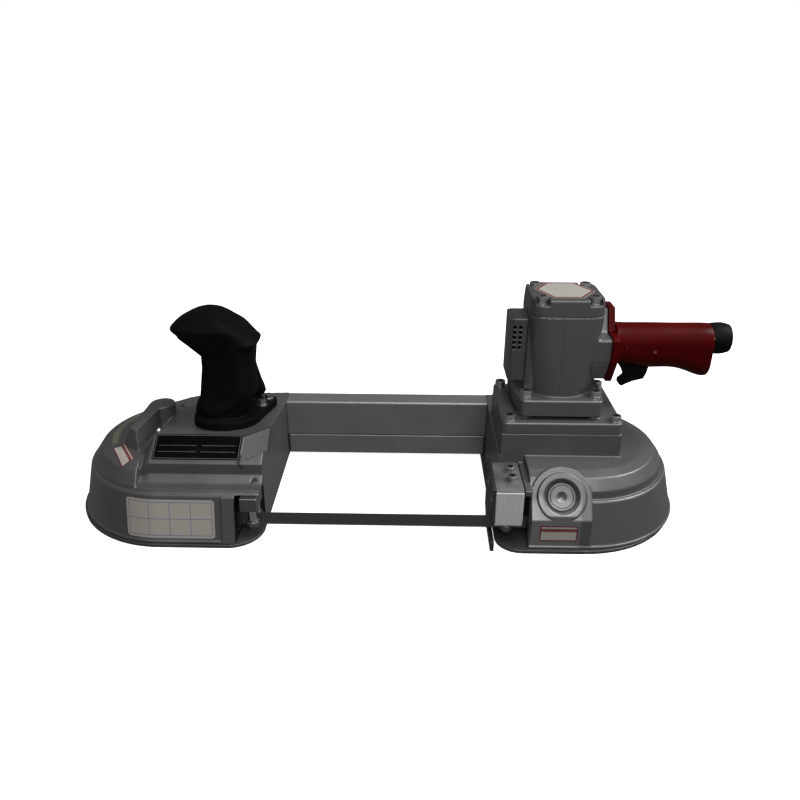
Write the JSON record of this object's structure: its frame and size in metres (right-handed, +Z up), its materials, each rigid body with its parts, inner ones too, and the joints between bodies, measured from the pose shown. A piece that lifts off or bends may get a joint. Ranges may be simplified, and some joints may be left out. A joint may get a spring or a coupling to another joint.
{
  "type": "portable pneumatic band saw",
  "caption": "Portable pneumatic band saw: wheel housings joined by a beam, blade across an open throat, upright air motor on a gearbox, trigger handle and front handle.",
  "frame": {"origin": "where the drive wheel's axis meets the plane that the saw rests on", "axes": "+X from the idler wheel towards the drive wheel and the trigger handle, +Y to the back where the beam is, +Z up"},
  "size_m": [0.6019, 0.1976, 0.2077],
  "materials": {
    "cast_grey": "grey metallic paint on a rough casting",
    "cover_grey": "grey metallic paint on sheet",
    "red_gloss": "dark red gloss paint",
    "black_rubber": "black moulded rubber",
    "black_plate": "black plate with a bright border",
    "zinc_steel": "zinc plated",
    "dark_steel": "blackened",
    "bright_steel": "ground",
    "roller_chrome": "polished",
    "blade_steel": "dark spring steel",
    "wheel_aluminium": "turned",
    "tyre_rubber": "bonded rubber",
    "vane_plastic": "laminate",
    "trigger_black": "satin",
    "collar_black": "knurled",
    "brass": "turned"
  },
  "bodies": {
    "frame": {"base_cover_screws": "zinc_steel", "beam": "cast_grey", "beam_cover": "cast_grey", "beam_screws": "zinc_steel", "blade": "blade_steel", "cap_screws": "dark_steel", "cylinder_liner": "bright_steel", "drive_base_cover": "cover_grey", "drive_bearings": "bright_steel", "drive_housing": "cast_grey", "end_plates": "bright_steel", "exhaust_cover": "cast_grey", "front_handle": "black_rubber", "front_handle_screws": "zinc_steel", "gearbox_lid": "cast_grey", "grip_screws": "dark_steel", "guide_screws": "zinc_steel", "idler_base_cover": "cover_grey", "idler_housing": "cast_grey", "inlet_bush": "brass", "left_guide_block": "dark_steel", "left_thrust_pad": "bright_steel", "lid_screws": "dark_steel", "motor_body": "cast_grey", "motor_cap": "cast_grey", "motor_screws": "dark_steel", "nameplate": "black_plate", "pad_plug": "cast_grey", "rail_screws": "zinc_steel", "right_guide_block": "bright_steel", "roller_pins": "bright_steel", "rotor_bearings": "bright_steel", "stop_plate": "bright_steel", "stop_screws": "zinc_steel", "tension_rails": "bright_steel", "tension_washers": "dark_steel", "trigger_handle": "red_gloss", "trigger_pin": "bright_steel", "valve_spring": "dark_steel"},
    "drive": {"drive_shaft": "bright_steel", "drive_wheel": "wheel_aluminium", "drive_key": "dark_steel", "drive_tyre": "tyre_rubber", "wheel_nut": "dark_steel", "drive_gear": "bright_steel"},
    "rotor": {"rotor": "bright_steel", "vanes": "vane_plastic"},
    "tension_screw": {"tension_screw": "dark_steel"},
    "tension": {"tension_block": "bright_steel", "idler_axle": "bright_steel"},
    "idler": {"idler_wheel": "wheel_aluminium", "idler_tyre": "tyre_rubber", "idler_bearings": "bright_steel"},
    "left_front_roller": {"left_front_roller": "roller_chrome"},
    "left_rear_roller": {"left_rear_roller": "roller_chrome"},
    "right_front_roller": {"right_front_roller": "roller_chrome"},
    "right_rear_roller": {"right_rear_roller": "roller_chrome"},
    "trigger": {"trigger": "trigger_black"},
    "valve": {"valve_stem": "brass"},
    "collar": {"inlet_collar": "collar_black"}
  },
  "joints": [
    {"name": "drive_spin", "type": "hinge", "parent": "frame", "child": "drive", "pos_m": [0, 0, 0.0182], "axis": [0, 0, 1], "continuous": true},
    {"name": "rotor_spin", "type": "hinge", "parent": "frame", "child": "rotor", "pos_m": [-0.0253, 0.006, 0.14], "axis": [0, 0, 1], "continuous": true},
    {"name": "tension_screw_turn", "type": "hinge", "parent": "frame", "child": "tension_screw", "pos_m": [-0.439, 0, 0.03785], "axis": [1, 0, 0], "range_deg": [-1728.1, 0]},
    {"name": "tension_slide", "type": "slide", "parent": "frame", "child": "tension", "axis": [1, 0, 0], "range_m": [0, 0.006]},
    {"name": "idler_spin", "type": "hinge", "parent": "tension", "child": "idler", "pos_m": [-0.379, 0, 0.0182], "axis": [0, 0, 1], "continuous": true},
    {"name": "trigger_pull", "type": "hinge", "parent": "frame", "child": "trigger", "pos_m": [0.0556, 0.006, 0.1488], "axis": [0, 1, 0], "range_deg": [0, 9], "stiffness_Nm_per_rad": 0.3, "springref_deg": -3.44},
    {"name": "valve_lift", "type": "slide", "parent": "frame", "child": "valve", "axis": [0, 0, 1], "range_m": [0, 0.0029], "deforming": ["valve_spring"]},
    {"name": "collar_swivel", "type": "hinge", "parent": "frame", "child": "collar", "pos_m": [0.1162, 0.006, 0.163], "axis": [1, 0, 0], "continuous": true},
    {"name": "left_front_roller_spin", "type": "hinge", "parent": "frame", "child": "left_front_roller", "pos_m": [-0.298, -0.08295, 0.0181], "axis": [0, 0, 1], "continuous": true},
    {"name": "left_rear_roller_spin", "type": "hinge", "parent": "frame", "child": "left_rear_roller", "pos_m": [-0.298, -0.0697, 0.0181], "axis": [0, 0, 1], "continuous": true},
    {"name": "right_front_roller_spin", "type": "hinge", "parent": "frame", "child": "right_front_roller", "pos_m": [-0.075, -0.08295, 0.0181], "axis": [0, 0, 1], "continuous": true},
    {"name": "right_rear_roller_spin", "type": "hinge", "parent": "frame", "child": "right_rear_roller", "pos_m": [-0.075, -0.0697, 0.0181], "axis": [0, 0, 1], "continuous": true}
  ],
  "couplings": [
    {"joint": "rotor_spin", "follows": "drive_spin", "ratio": -3},
    {"joint": "idler_spin", "follows": "drive_spin", "ratio": 1},
    {"joint": "tension_screw_turn", "follows": "tension_slide", "rad_per_m": -5026.5},
    {"joint": "trigger_pull", "follows": "valve_lift", "rad_per_m": 54.054},
    {"joint": "left_front_roller_spin", "follows": "drive_spin", "ratio": -12.721},
    {"joint": "left_rear_roller_spin", "follows": "drive_spin", "ratio": 12.721},
    {"joint": "right_front_roller_spin", "follows": "drive_spin", "ratio": -12.721},
    {"joint": "right_rear_roller_spin", "follows": "drive_spin", "ratio": 12.721}
  ]
}
